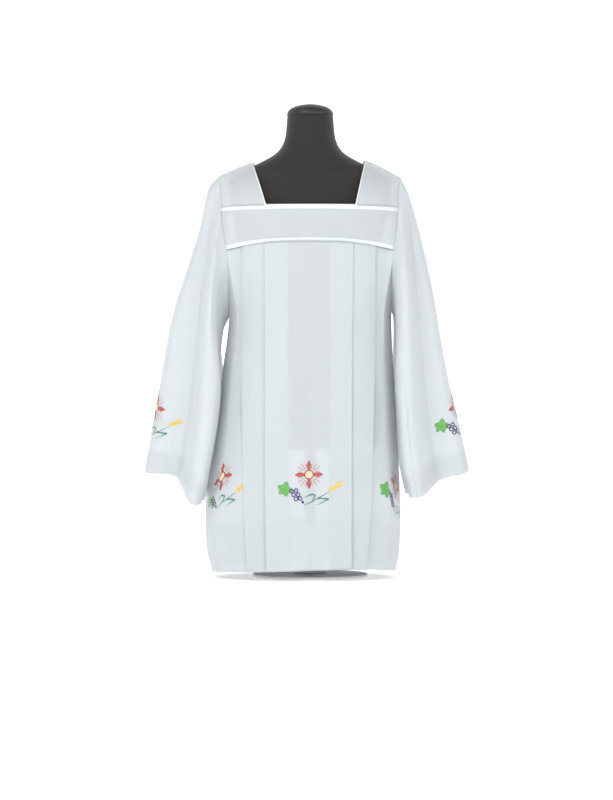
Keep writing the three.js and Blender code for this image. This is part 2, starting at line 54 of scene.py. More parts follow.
NECK_TOP = {-1: 138.0, 1: 137.0}
SIDE_SEWN = 0.5  # share of a side panel's width that is sewn to the band
CLOTH, DOUBLED = 0.45, 0.3  # thickness of one layer, and of the strips over the seams and neck edge
HEM, CUFF = 106.0, 48.0  # depth of the turned-up hems
HEM_INSIDE, HEM_RAISED = 0.8, 0.4  # how far a turned-up layer lies inside, and above the edge
YOKE_ROWS, SHOULDER_COLUMNS = 44, 32


def table(names, *rows):
    """Named columns, as arrays sorted by the first one."""
    data = np.array(sorted(rows), float).T
    return dict(zip(names.split(), data))


BODY = table(
    "z left right front back",
    (893, 228, 228, 127, 110), (786, 222, 224, 132, 118), (682, 201, 206, 137, 124),
    (625, 193, 200, 140, 128), (473, 213, 207, 149, 140), (307, 234, 216, 159, 152),
    (174, 251, 222, 166, 161), (66, 249, 220, 169, 166), (7, 236, 210, 169, 166))
PLEATS = table(
    "z outer_left outer_right inner_left inner_right hidden pitch",
    (804, 158, 158, 105, 104, 52, 1.7), (593, 160, 156, 102, 100, 51, 2.4),
    (185, 152, 145, 100, 97, 50, 3.4), (15, 145, 133, 97, 96, 50, 3.8))
SHOULDER = {
    -1: table("x z", (0, 1024), (138, 1003.5), (218, 972)),
    1: table("x z", (0, 1024), (137, 1008.5), (222, 969))}
HEM_HEIGHTS = {-1: (20, 18, 17, 14, 7), 1: (20, 22, 24, 20, 9)}  # middle, hidden, inner, outer, side
FOLDS = {
    -1: {
        "outer": table("z x y", (972, 218.6, 0), (943, 244, 0), (848, 265, 0), (750, 295, 0),
                       (669, 322, 0), (596, 340, 0), (474, 361, 0), (251, 400, 0)),
        "crease": table("z x y", (934, 215, 40), (899, 226, 48), (845, 242, 54), (775, 250, 58),
                        (693, 263, 60), (594, 274, 60), (473, 286, 60), (323, 308, 56), (238, 323, 50)),
        "crest": table("z x y", (852, 210, 69), (780, 226, 104), (690, 238, 126), (560, 247, 138),
                       (380, 258, 146), (183, 288, 150)),
        "edge": table("z x y", (742, 194, 80), (720, 207, 88), (680, 216, 96), (593, 221, 108),
                      (473, 211, 116), (384, 217, 122), (254, 240, 128), (176, 259, 128)),
        "under": table("z x y", (627, 194.6, 0), (596, 208, 0), (473, 222, 0), (307, 243, 0),
                       (196, 262, 0))},
    1: {
        "outer": table("z x y", (969, 222.6, 0), (927, 243, 0), (827, 272, 0), (753, 289, 0),
                       (672, 306, 0), (596, 318, 0), (474, 340, 0), (345, 370, 0), (255, 390, 0)),
        "crease": table("z x y", (932, 218, 40), (890, 239, 46), (823, 250, 52), (712, 261, 58),
                        (594, 272, 60), (473, 284, 60), (334, 298, 58), (230, 317, 52)),
        "crest": table("z x y", (850, 213, 69), (780, 226, 104), (690, 236, 124), (560, 241, 136),
                       (380, 250, 144), (196, 272, 148)),
        "edge": table("z x y", (745, 200, 80), (720, 205, 88), (671, 208, 97), (593, 210, 108),
                      (490, 207, 116), (385, 214, 122), (281, 222, 128), (192, 241, 128)),
        "under": table("z x y", (641, 201.6, 0), (606, 211, 0), (473, 215, 0), (307, 226, 0),
                       (206, 246, 0))}}
ORDER = "outer lobe crease crest edge under edge crest crease lobe".split()
FORM = table(
    "z half front back",
    (307, 164, 118, 112), (330, 168, 121, 116), (420, 172, 122, 120), (560, 143, 104, 96),
    (640, 144, 106, 96), (740, 162, 118, 104), (820, 178, 124, 106), (880, 190, 120, 102),
    (920, 196, 110, 96), (945, 198, 98, 88), (962, 196, 86, 78), (975, 178, 76, 70),
    (990, 150, 70, 66), (1006, 117, 66, 62), (1024, 86, 63, 60), (1042, 70, 60, 58),
    (1066, 61, 57, 56), (1116, 56, 55, 55))

base_low, base_high = (np.array(corner) * 1000 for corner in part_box("form_base"))
SHIFT = np.array([(base_low[0] + base_high[0]) / 2 - FORM_X, (base_low[1] + base_high[1]) / 2,
                  base_low[2] - FLOOR])


def placed(points):
    """Garment millimetres to metres in the frame."""
    return (points + SHIFT) * 0.001


# ---------------------------------------------------------------- small maths
def mix(a, b, share):
    """The straight way from a to b, by share."""
    return a + (b - a) * share


def smooth(value, low, high):
    """0 below low, 1 above high, and an S-shaped rise between."""
    s = np.clip((value - low) / (high - low), 0, 1)
    return s * s * (3 - 2 * s)


def read(rows, value, name, key="z"):
    """A smooth curve through a table: cubics whose slope at a row is its neighbours' chord."""
    k, v = rows[key], rows[name]
    value = np.clip(np.asarray(value, float), k[0], k[-1])
    i = np.clip(np.searchsorted(k, value, "right") - 1, 0, len(k) - 2)
    before, after = np.maximum(i - 1, 0), np.minimum(i + 2, len(k) - 1)
    width = k[i + 1] - k[i]
    s = (value - k[i]) / width
    start = (v[i + 1] - v[before]) / (k[i + 1] - k[before]) * width
    end = (v[after] - v[i]) / (k[after] - k[i]) * width
    rise = (3 - 2 * s) * s * s * (v[i + 1] - v[i])
    return v[i] + rise + s * (1 - s) ** 2 * start + (s - 1) * s * s * end


def normals_of(grid, closed=False):
    """Unit normals from the differences of neighbouring points, rows by columns."""
    along = np.gradient(grid, axis=0)
    if closed:
        across = np.roll(grid, -1, 1) - np.roll(grid, 1, 1)
    else:
        across = np.gradient(grid, axis=1)
    n = np.cross(along, across)
    return n / np.maximum(np.linalg.norm(n, axis=2, keepdims=True), 1e-9)


# ---------------------------------------------------------------- the body's surface
def half_width(side, z):
    """Distance from the middle to the left (-1) or right (1) side seam."""
    return np.where(np.asarray(side) < 0, read(BODY, z, "left"), read(BODY, z, "right"))


def depth(face, z):
    """Distance from the side seams to the front (-1) or back (1)."""
    return read(BODY, z, "front" if face < 0 else "back")


def outline(face, x, z):
    """Depth of the rounded plan outline at a distance x from the middle."""
    share = np.minimum(np.abs(x) / half_width(np.sign(x), z), 1)
    return face * depth(face, z) * (1 - share**ROUND) ** (1 / ROUND)


def turn_of(side, x, z):
    """Share of the quarter turn at which the plan outline has this x: the way back from plan()."""
    share = np.clip(np.abs(x) / half_width(side, z), 0, 1)
    return np.arcsin(share ** (ROUND / 2)) / (np.pi / 2)


def plan(face, side, turn, z):
    """Point of the plan outline at a share of the quarter turn from the middle to the side."""
    angle = turn * np.pi / 2
    x = side * half_width(side, z) * np.sin(angle) ** (2 / ROUND)
    y = face * depth(face, z) * np.clip(np.cos(angle), 0, 1) ** (2 / ROUND)
    return x, y


def plan_normal(face, side, x, y, z):
    """Unit outward direction of the plan outline: its powers' slopes, made one long."""
    w, d = half_width(side, z), depth(face, z)
    nx = side * (np.abs(x) / w) ** (ROUND - 1) / w
    ny = face * (np.abs(y) / d) ** (ROUND - 1) / d
    size = np.hypot(nx, ny)
    return nx / size, ny / size


def shoulder(side, x):
    """Height of the shoulder line at a distance from the middle."""
    return read(SHOULDER[side], np.abs(x), "z", "x")


def arch(face, side, x, rise):
    """Over the shoulder: a quarter of an ellipse from the yoke seam to the shoulder line."""
    angle = rise * np.pi / 2
    y = outline(face, x, YOKE_SEAM) * np.cos(angle)
    return x, y, YOKE_SEAM + (shoulder(side, x) - YOKE_SEAM) * np.sin(angle)


# ---------------------------------------------------------------- sleeves
def sleeve_lines(side, station):
    """The ten fold lines of a sleeve at each station, as an array of stations by lines by xyz."""
    def line(name):
        rows = FOLDS[side][name]
        z = mix(rows["z"][-1], rows["z"][0], station)
        return np.stack([read(rows, z, "x"), read(rows, z, "y"), z], -1)
    outer, crease = line("outer"), line("crease")
    found = []
    for i, name in enumerate(ORDER):
        if name == "lobe":
            p = np.stack([mix(outer[:, 0], crease[:, 0], 0.18), crease[:, 1] * 0.68,
                          mix(outer[:, 2], crease[:, 2], 0.35)], -1)
        else:
            p = line(name)
        p[:, 0] *= side
        p[:, 1] *= BACK_SHARE if i > 5 else -1
        found.append(p)
    return np.stack(found, 1)


def around(lines, turn):
    """Catmull-Rom curve through the closed ring of lines, at turn from 0 to 10."""
    count = lines.shape[1]
    i = np.floor(turn).astype(int)
    s = (turn - i)[None, :, None]
    p0, p1, p2, p3 = (lines[:, (i + step) % count] for step in (-1, 0, 1, 2))
    m1, m2 = (p2 - p0) / 2, (p3 - p1) / 2
    return (p1 * (1 - 3 * s**2 + 2 * s**3) + p2 * (3 * s**2 - 2 * s**3)
            + m1 * s * (1 - s) ** 2 + m2 * s * s * (s - 1))


# Soft creases of each sleeve: turn round the ring, its width, depth in mm, and first and last station.
CREASES = {
    -1: ((2.0, 0.16, 5.0, 0.05, 1.1), (2.55, 0.12, 2.2, 0.3, 1.1), (1.2, 0.2, -1.5, 0.2, 0.9),
         (3.55, 0.14, 1.6, 0.0, 0.45), (8.0, 0.16, 5.0, 0.1, 1.1), (7.3, 0.14, 2.0, 0.35, 1.1)),
    1: ((2.0, 0.15, 5.0, 0.05, 1.1), (3.45, 0.13, 6.0, 0.5, 1.1), (2.5, 0.14, 2.0, 0.0, 0.6),
        (1.1, 0.2, 1.4, 0.3, 1.1), (8.0, 0.18, 4.5, 0.1, 1.1), (7.0, 0.14, 3.0, 0.45, 1.1))}


def sleeve_grid(side, rows=130, columns=170):
    """Rings from the armhole to the cuff, dented along each crease by depth times a bell curve round the
    ring, plus a low wave that grows towards the cuff."""
    station = np.linspace(0, 1, rows) ** 1.15
    turn = np.arange(columns) / columns * len(ORDER)
    grid = around(sleeve_lines(side, station), turn)
    n = normals_of(grid, True) * -side
    dent = np.zeros((rows, columns))
    for centre, width, deep, first, last in CREASES[side]:
        window = smooth(station, first, first + 0.2) * (1 - smooth(station, last - 0.15, last))
        dent += deep * np.exp(-(((turn - centre) / width) ** 2))[None] * window[:, None]
    wave = 0.8 * np.sin(turn * 3.1 + station[:, None] * 5) * smooth(station, 0.3, 1)[:, None]
    return grid - n * (dent + wave)[..., None]


ARMHOLE = {side: around(sleeve_lines(side, np.zeros(1)), np.linspace(0, 10, 801)[:-1])[0] for side in (-1, 1)}


def armhole(face, side, z):
    """x and y of the armhole's front or back edge at a height."""
    ring = ARMHOLE[side]
    half = ring[:401] if face < 0 else np.concatenate([ring[400:], ring[:1]])
    half = half[np.argsort(half[:, 2])]
    return np.interp(z, half[:, 2], half[:, 0]), np.interp(z, half[:, 2], half[:, 1])


def lowest(side):
    """Height of the armhole's lowest point."""
    return ARMHOLE[side][:, 2].min()


def band_bottom(side, x):
    """Height of the lower band seam, which bows down towards the armholes as x to the power 2.5."""
    reach = np.abs(armhole(-1, side, BAND_SEAM - BAND_DROP)[0])
    return BAND_SEAM - BAND_DROP * np.minimum(np.abs(x) / reach, 1) ** 2.5


# ---------------------------------------------------------------- skirt
RUNS = (("middle", "inner", 4, 26), ("inner", "hidden", 3, 9), ("hidden", "outer", 2, 20),
        ("outer", "inner", 1, 9), ("inner", "side", 0, 64))  # from, to, layer, steps
PLACES = ("middle", "hidden", "inner", "outer")
TURNS = (30, 75, 105, 150)  # degrees round each folded edge


def pleat_columns():
    """Columns from the middle to the side seam: share of each fold's place, bulge at a folded edge,
    layer, share of the way round the side panel, and place along the hem table."""
    columns = []
    for number, (start, end, layer, steps) in enumerate(RUNS):
        for share in np.linspace(0, 1, steps + 1):
            weights = [0.0] * 4
            weights[PLACES.index(start)] += 1 - share if end != "side" else 1
            if end != "side":
                weights[PLACES.index(end)] += share
            columns.append([*weights, 0, layer, share if end == "side" else 0, 1.0 * (end == "side")])
        if number < len(RUNS) - 1:
            outward = 1 if number % 2 == 0 else -1
            for angle in np.radians(TURNS):
                weights = [0.0] * 4
                weights[PLACES.index(end)] = 1
                columns.append([*weights, outward * np.sin(angle), layer - (1 - np.cos(angle)) / 2, 0, 0])
    return np.array(columns)


def skirt_half(face, side, rows=118):
    """Rows from the top edge down to the hem. Each point lies on the plan outline, moved out along its
    normal by its layer times the pitch, plus soft ripples. The top row follows the band seam and then
    the armhole, and what that shifts dies away downwards as the cube of the height left."""
    columns = pleat_columns()
    weights = columns[:, :4]
    bulge, layer, share, is_side = columns[:, 4:].T
    ending = "left" if side < 0 else "right"

    def turns(z):
        folds = np.stack([np.zeros_like(z), read(PLEATS, z, "hidden"), read(PLEATS, z, "inner_" + ending),
                          read(PLEATS, z, "outer_" + ending)], -1)
        x = (folds * weights).sum(-1) + bulge * read(PLEATS, z, "pitch") / 2
        return mix(turn_of(side, x, z), 1, share * is_side)

    seam = BAND_SEAM - BAND_DROP
    end_x, end_y = armhole(face, side, seam)
    z0 = np.full(len(columns), BAND_SEAM)
    start = np.abs(plan(face, side, turns(z0), z0)[0])
    inner = read(PLEATS, BAND_SEAM, "inner_" + ending)
    part = np.clip(share / SIDE_SEWN, 0, 1)
    x = side * np.where(is_side > 0, mix(inner, abs(end_x), part), start)
    z = band_bottom(side, x)
    y = outline(face, x, z) + np.where(is_side > 0, part**8, 0) * (end_y - outline(face, end_x, seam))
    up = np.clip((share - SIDE_SEWN) / (1 - SIDE_SEWN), 0, 1)
    z_arm = mix(seam, lowest(side), np.sin(up * np.pi / 2) ** 0.9)
    x_arm, y_arm = armhole(face, side, z_arm)
    free = (share > SIDE_SEWN) & (is_side > 0)
    x, y, z = np.where(free, x_arm, x), np.where(free, y_arm, y), np.where(free, z_arm, z)
    y = np.where(share * is_side == 1, 0, y)

    heights = HEM_HEIGHTS[side]
    hem = weights @ np.array(heights[:4])
    hem = np.where(is_side > 0, mix(heights[2], heights[4], share), hem)
    down = np.linspace(0, 1, rows)[:, None]
    level = mix(z, hem, down)
    px, py = plan(face, side, turns(level), level)
    top_x, top_y = plan(face, side, turns(z), z)
    nx, ny = plan_normal(face, side, px, py, level)
    fade = (1 - down) ** 3
    out = layer * read(PLEATS, level, "pitch")
    low = smooth(-level, -620, -60)
    ripple = 2.6 * np.sin(share * 15 + side * 0.6 + face) * np.sin(np.pi * share) ** 0.7 * is_side * low
    loose = 1.1 * np.sin(level / 83 + side) * low * (layer > 1.5)
    relax = -3.0 * smooth(-np.abs(px), -48, 0) * (layer > 3.5) * smooth(-level, -800, -500)
    out = out + ripple + loose * (1 + layer) / 5 + relax
    gx, gy = px + fade * (x - top_x) + nx * out, py + fade * (y - top_y) + ny * out
    return np.stack([gx, gy, level], -1)


def skirt_grid(face):
    """Both halves of a skirt in one grid, from the left side seam to the right one."""
    left, right = skirt_half(face, -1), skirt_half(face, 1)
    return np.concatenate([left[:, ::-1], right[:, 1:]], 1)


# ---------------------------------------------------------------- yoke and band
def yoke_xyz(face, side, across, rise):
    """Across 0 is the neck edge and 1 the armhole; rise 0 is the seam and 1 the shoulder line."""
    lift = np.sin(rise * np.pi / 2)
    neck_x = mix(NECK_CORNER[side], NECK_TOP[side], lift)
    end_x, end_y = armhole(face, side, mix(YOKE_SEAM, ARMHOLE[side][0, 2], lift))
    end_z = mix(YOKE_SEAM, ARMHOLE[side][0, 2], lift)
    x, y, z = arch(face, side, side * mix(neck_x, np.abs(end_x), across), rise)
    ex, ey, ez = arch(face, side, end_x, rise)
    pull = across**6
    return np.stack([x + pull * (end_x - ex), y + pull * (end_y - ey), z + pull * (end_z - ez)], -1)


def front_yoke_grid(side, rows=YOKE_ROWS, columns=36):
    """The shoulder from the yoke seam up, neck edge to armhole."""
    rise, across = np.meshgrid(np.linspace(0, 1, rows), np.linspace(0, 1, columns), indexing="ij")
    return yoke_xyz(-1, side, across, rise)


def back_yoke_grid(rows=YOKE_ROWS):
    """From armhole to armhole: each shoulder, then the side and the level bottom of the back neck."""
    rise = np.linspace(0, 1, rows)[:, None]

    def line_to(side, x, bottom, top):
        limit = np.arcsin(np.minimum((top - YOKE_SEAM) / (shoulder(side, x) - YOKE_SEAM), 1)) / (np.pi / 2)
        px, py, pz = arch(1, side, mix(bottom, x, rise), rise * limit)
        return np.stack([px + 0 * rise, py, pz], -1)

    def half(side):
        corner, upper = NECK_CORNER[side], NECK_TOP[side]
        across = np.linspace(1, 0, SHOULDER_COLUMNS)[None, :]
        ridge = shoulder(side, upper)
        q = np.linspace(0.02, 1, 22)[None, :] ** 1.5
        neck = np.linspace(0.97, 0.03, 24)[None, :]
        return np.concatenate([
            yoke_xyz(1, side, across + 0 * rise, rise + 0 * across),
            line_to(side, side * mix(upper, BACK_CORNER, q), side * corner * mix(1, 0.9, q),
                    mix(ridge, BACK_NECK, q)),
            line_to(side, side * BACK_CORNER * neck, side * corner * 0.9 * neck, BACK_NECK)], 1)

    return np.concatenate([half(-1), half(1)[:, ::-1]], 1)


def band_grid(face, rows=26, columns=121):
    """The plan outline between the yoke seam and the band's bowed lower seam, armhole to armhole."""
    down = np.linspace(0, 1, rows)[:, None]
    share = np.linspace(-1, 1, columns)[None, :]
    level = mix(YOKE_SEAM, BAND_SEAM - BAND_DROP, down)
    halves = []
    for side in (-1, 1):
        end_x, end_y = armhole(face, side, level)
        half = slice(None, columns // 2 + 1) if side < 0 else slice(columns // 2 + 1, None)
        s = np.abs(share[:, half])
        x = s * end_x
        z = mix(YOKE_SEAM, band_bottom(side, x), down)
        y = outline(face, x, z) + s**8 * (end_y - outline(face, end_x, level))
        halves.append(np.stack([x, y, z], -1))
    return np.concatenate(halves, 1)


# ---------------------------------------------------------------- meshes
def mesh_object(name, points, faces, uvs=None, colours=None):
    """A smooth mesh of given points and faces, with a UV map or point colours if they are given."""
    mesh = bpy.data.meshes.new(name)
    mesh.from_pydata(placed(points).tolist(), [], faces.tolist())
    mesh.polygons.foreach_set("use_smooth", np.ones(len(mesh.polygons), bool))
    if uvs is not None:
        layer = mesh.uv_layers.new(name="cloth")
        layer.data.foreach_set("uv", uvs[faces.ravel()].ravel())
    if colours is not None:
        attribute = mesh.color_attributes.new("thread", "FLOAT_COLOR", "POINT")
        attribute.data.foreach_set("color", np.concatenate([colours, np.ones((len(colours), 1))], 1).ravel())
    mesh.update()
    piece = bpy.data.objects.new(name, mesh)
    bpy.context.collection.objects.link(piece)
    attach(piece, "root")
    return piece


def grid_faces(rows, columns, closed=False, flip=False):
    """Four-sided faces of a grid; closed joins its last column to its first."""
    r = np.arange(rows - 1)[:, None]
    c = np.arange(columns if closed else columns - 1)[None, :]
    n = (c + 1) % columns
    near, far = r * columns, (r + 1) * columns
    faces = np.stack([near + c, far + c, far + n, near + n], -1).reshape(-1, 4)
    return faces[:, ::-1] if flip else faces


def lengths_along(grid, axis):
    """Length of the way to each point from the first one along an axis."""
    steps = np.diff(grid, axis=axis, prepend=grid.take([0], axis))
    return np.cumsum(np.linalg.norm(steps, axis=2), axis=axis)


def shell(name, grid, cloth, outward, closed=False, inside=0.0, thickness=CLOTH):
    """A thin shell whose outer side is the grid. Outward says roughly which way it faces, and inside
    moves it in along its normals first. Its UV map is the length across and down the cloth in metres."""
    rows, columns = grid.shape[:2]
    n = normals_of(grid, closed)
    flip = (n * outward).sum() < 0
    if flip:
        n = -n
    uvs = np.stack([lengths_along(grid, 1), lengths_along(grid, 0)], -1).reshape(-1, 2) * 0.001
    faces = grid_faces(rows, columns, closed, flip)
    piece = mesh_object(name, (grid - n * inside).reshape(-1, 3), faces, uvs)
    piece.data.materials.append(cloth)
    solidify = piece.modifiers.new("cloth thickness", "SOLIDIFY")
    solidify.thickness, solidify.offset = thickness * 0.001, -1
    return piece


def outward_of(grid, towards):
    """An open grid's normals, turned to face roughly towards a direction."""
    n = normals_of(grid)
    return n if (n * towards).sum() > 0 else -n


def facing(grid, *towards):
    """One direction, repeated for every point of a grid."""
    return np.broadcast_to(np.array(towards, float), grid.shape)


# ---------------------------------------------------------------- materials
def linear(code):
    """sRGB hex to linear rgba."""
    c = np.array([int(code[i:i + 2], 16) for i in (1, 3, 5)]) / 255
    c = np.where(c <= 0.04045, c / 12.92, ((c + 0.055) / 1.055) ** 2.4)
    return (*c.tolist(), 1.0)


def node(tree, kind, settings=None, links=None):
    """Adds a shader node, sets sockets or properties by name, and links outputs into its sockets."""
    made = tree.nodes.new("ShaderNode" + kind)
    for name, value in (settings or {}).items():
        if name in made.inputs:
            made.inputs[name].default_value = value
        else:
            setattr(made, name, value)
    for name, source in (links or {}).items():
        tree.links.new(source, made.inputs[name])
    return made


def material(name):
    """A new material, its node tree and its shader."""
    made = bpy.data.materials.new(name)
    made.use_nodes = True
    tree = made.node_tree
    return made, tree, tree.nodes["Principled BSDF"]


def sheer_polyester(name, light, dark, alpha):
    """Plain-woven white polyester voile, calendered: smooth, a soft satin sheen, lets some light by.
    Threads are about 0.3 mm apart, drawn at 1.2 mm so that they can show at all."""
    made, tree, shader = material(name)
    place = node(tree, "TexCoord")
    cloudy = node(tree, "TexNoise", {"Scale": 9.0, "Detail": 3.0}, {"Vector": place.outputs["Object"]})
    colour = node(tree, "Mix", {"data_type": "RGBA"}, {"Factor": cloudy.outputs["Fac"]})
    colour.inputs[6].default_value, colour.inputs[7].default_value = linear(light), linear(dark)
    across = node(tree, "TexWave", {"Scale": 260.0, "bands_direction": "X"}, {"Vector": place.outputs["UV"]})
    along = node(tree, "TexWave", {"Scale": 260.0, "bands_direction": "Y"}, {"Vector": place.outputs["UV"]})
    weave = node(tree, "Math", {"operation": "ADD"})
    tree.links.new(across.outputs["Fac"], weave.inputs[0])
    tree.links.new(along.outputs["Fac"], weave.inputs[1])
    limp = node(tree, "TexNoise", {"Scale": 26.0, "Detail": 2.0}, {"Vector": place.outputs["Object"]})
    fine = node(tree, "Bump", {"Strength": 0.12, "Distance": 0.0003}, {"Height": weave.outputs[0]})
    bump = node(tree, "Bump", {"Strength": 0.12, "Distance": 0.003},
                {"Height": limp.outputs["Fac"], "Normal": fine.outputs["Normal"]})
    tree.links.new(colour.outputs[2], shader.inputs["Base Color"])
    tree.links.new(bump.outputs["Normal"], shader.inputs["Normal"])
    shader.inputs["Roughness"].default_value = 0.55
    shader.inputs["Sheen Weight"].default_value = 0.25
    shader.inputs["Sheen Roughness"].default_value = 0.4
    shader.inputs["Specular IOR Level"].default_value = 0.35
    shader.inputs["Alpha"].default_value = alpha
    return made


def plain_surface(name, light, dark, scale, roughness, metallic=0.0, bump_mm=0.1, sheen=0.0):
    """A surface whose colour and height vary softly with a noise of the given scale."""
    made, tree, shader = material(name)
    place = node(tree, "TexCoord")
    grain = node(tree, "TexNoise", {"Scale": scale, "Detail": 4.0}, {"Vector": place.outputs["Object"]})
    colour = node(tree, "Mix", {"data_type": "RGBA"}, {"Factor": grain.outputs["Fac"]})
    colour.inputs[6].default_value, colour.inputs[7].default_value = linear(light), linear(dark)
    bump = node(tree, "Bump", {"Strength": 0.4, "Distance": bump_mm * 0.001},
                {"Height": grain.outputs["Fac"]})
    tree.links.new(colour.outputs[2], shader.inputs["Base Color"])
    tree.links.new(bump.outputs["Normal"], shader.inputs["Normal"])
    shader.inputs["Roughness"].default_value = roughness
    shader.inputs["Metallic"].default_value = metallic
    shader.inputs["Sheen Weight"].default_value = sheen
    return made


voile = sheer_polyester("sheer white polyester voile", "#E6EBED", "#E0E6E9", 0.56)
edge_voile = sheer_polyester("doubled voile at seams and edges", "#EFF4F5", "#E9EFF1", 0.9)
# Cotton jersey stretched over the form: matt, almost black, a little brown.
jersey = plain_surface("black cotton jersey", "#2A2524", "#231F1E", 900.0, 0.85, bump_mm=0.2, sheen=0.2)
# Stained and lacquered wood of the neck cap.
stained_wood = plain_surface("dark stained beech", "#302B29", "#272221", 60.0, 0.5)
# Ground and brushed steel tube.
brushed_steel = plain_surface("brushed steel", "#D4D6D8", "#C3C6C9", 400.0, 0.35, 1.0)
# Powder-coated steel plate.
powder_coat = plain_surface("white powder coat", "#EFEFEC", "#E8E8E5", 700.0, 0.5)

# ---------------------------------------------------------------- cloth pieces
fronts = {}
for face, word in ((-1, "front"), (1, "back")):
    grid = skirt_grid(face)
    fronts[face] = grid
    out = normals_of(grid)
    middle = grid.shape[1] // 2
    out = out * np.sign(out[60, middle, 1] * face)
    piece = shell("skirt_" + word + "_cloth", grid, voile, outward=out)
    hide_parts("skirt_" + word)
    first = int(np.argmin(np.abs(grid[-1, middle, 2] + HEM - grid[:, middle, 2])))
    turned_up = grid[first:] + [0, 0, HEM_RAISED]
    hem = shell("hem_" + word, turned_up, voile, inside=HEM_INSIDE, outward=out[first:])

sleeves = {}
for side, word in ((-1, "left"), (1, "right")):
    grid = sleeve_grid(side)
    sleeves[side] = grid
    centre = grid.mean(1, keepdims=True)
    piece = shell("sleeve_" + word + "_cloth", grid, voile, closed=True, outward=grid - centre)
    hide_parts("sleeve_" + word)
    drop = np.linalg.norm(grid - grid[-1:], axis=2).mean(1)
    first = int(np.argmin(np.abs(drop - CUFF)))
    cuff = shell("cuff_hem_" + word, grid[first:] + [0, 0, HEM_RAISED], voile, closed=True, inside=HEM_INSIDE,
                 outward=(grid - centre)[first:])
    yoke = front_yoke_grid(side)
    piece = shell("front_yoke_" + word + "_cloth", yoke, voile, facing(yoke, 0, -1, 1))
    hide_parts("front_yoke_" + word)

yoke = back_yoke_grid()
piece = shell("back_yoke_cloth", yoke, voile, facing(yoke, 0, 1, 1))
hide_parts("back_yoke")
bands = {}
for face, word in ((-1, "chest_band"), (1, "back_band")):
    bands[face] = band_grid(face)
    piece = shell(word + "_cloth", bands[face], voile, facing(bands[face], 0, face, 0))
    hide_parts(word)


def stripe(name, grid, first, last, towards, lift=1.0):
    """A lapped seam: a doubled stripe raised over these rows of a panel, 5 rows across."""
    rows = np.linspace(first, last, 5)
    low = np.clip(np.floor(rows).astype(int), 0, len(grid) - 2)
    part = (rows - low)[:, None, None]
    strip = grid[low] * (1 - part) + grid[low + 1] * part
    n = outward_of(grid, towards)[low]
    rounding = np.array([0.1, 0.8, 1, 0.8, 0.1])[:, None, None]
    return shell(name, strip + n * lift * rounding, edge_voile, n, thickness=DOUBLED)


for face, word in ((-1, "front"), (1, "back")):
    towards = facing(bands[face], 0, face, 0)
    stripe("upper_seam_" + word, bands[face], 0.6, 3.0, towards)
    stripe("lower_seam_" + word, bands[face], 22.0, 25.0, towards)

# Neck facing: a narrow rounded strip on the edge all round the opening, wider along the chest.
CHEST_WIDTH, SIDE_WIDTH, BACK_WIDTH = 7.0, 3.2, 3.5
edges = []
band, back, top = bands[-1], yoke, YOKE_ROWS - 1
left_corner, right_corner = (
    int(np.argmin(np.abs(band[0, :, 0] - side * NECK_CORNER[side]))) for side in (-1, 1))
back_edge = range(back.shape[1] - SHOULDER_COLUMNS - 1, SHOULDER_COLUMNS, -1)
for grid, towards, picks in (
        (band, (0, -1, 0), [(0, c, CHEST_WIDTH) for c in range(left_corner, right_corner + 1)]),
        (front_yoke_grid(1), (0, -1, 1), [(r, 0, SIDE_WIDTH) for r in range(1, top + 1)]),
        (back, (0, 1, 1), [(top, c, BACK_WIDTH) for c in back_edge]),
        (front_yoke_grid(-1), (0, -1, 1), [(r, 0, SIDE_WIDTH) for r in range(top, 0, -1)])):
    n = outward_of(grid, facing(grid, *towards))
    edges += [(grid[r, c], n[r, c], width) for r, c, width in picks]
near, normal = np.array([e[0] for e in edges]), np.array([e[1] for e in edges])
width = np.array([e[2] for e in edges])[:, None]
away = np.cross(normal, np.roll(near, -1, 0) - np.roll(near, 1, 0))
away /= -np.linalg.norm(away, axis=1, keepdims=True)
section = ((-0.1, 0.2), (0.05, 1.1), (0.5, 1.3), (0.9, 1.0), (1.0, 0.3))  # share of the width, height
strip = np.stack([near + away * width * share + normal * lift for share, lift in section])
piece = shell("neck_facing_cloth", strip, edge_voile, np.broadcast_to(normal, strip.shape),
              closed=True, thickness=DOUBLED)
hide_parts("neck_facing")


# ---------------------------------------------------------------- dress form
def lathe(name, profile, turned_material, node_name, columns=96):
    """A turned piece; the profile's rows are radius and height, from its bottom to its top."""
    radius, height = np.array(profile, float).T
    angle = np.arange(columns) / columns * 2 * np.pi
    grid = np.stack([FORM_X + radius[:, None] * np.cos(angle), radius[:, None] * np.sin(angle),
                     height[:, None] + 0 * angle], -1)
    return closed_form(name, grid, turned_material, node_name)


def closed_form(name, grid, form_material, node_name):
    """Stacked rings, closed by a fan at each end."""
    rows, columns = grid.shape[:2]
    points = np.concatenate([grid.reshape(-1, 3), grid[:1].mean(1), grid[-1:].mean(1)])
    walls = grid_faces(rows, columns, True, True)
    c = np.arange(columns)
    n = (c + 1) % columns
    last, middle = (rows - 1) * columns, np.full(columns, rows * columns)
    bottom = np.stack([n, c, middle], 1)
    top = np.stack([last + c, last + n, middle + 1], 1)
    mesh = bpy.data.meshes.new(name)
    mesh.from_pydata(placed(points).tolist(), [], walls.tolist() + bottom.tolist() + top.tolist())
    mesh.polygons.foreach_set("use_smooth", np.ones(len(mesh.polygons), bool))
    piece = bpy.data.objects.new(name, mesh)
    bpy.context.collection.objects.link(piece)
    mesh.materials.append(form_material)
    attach(piece, "root")
    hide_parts(node_name)
    return piece


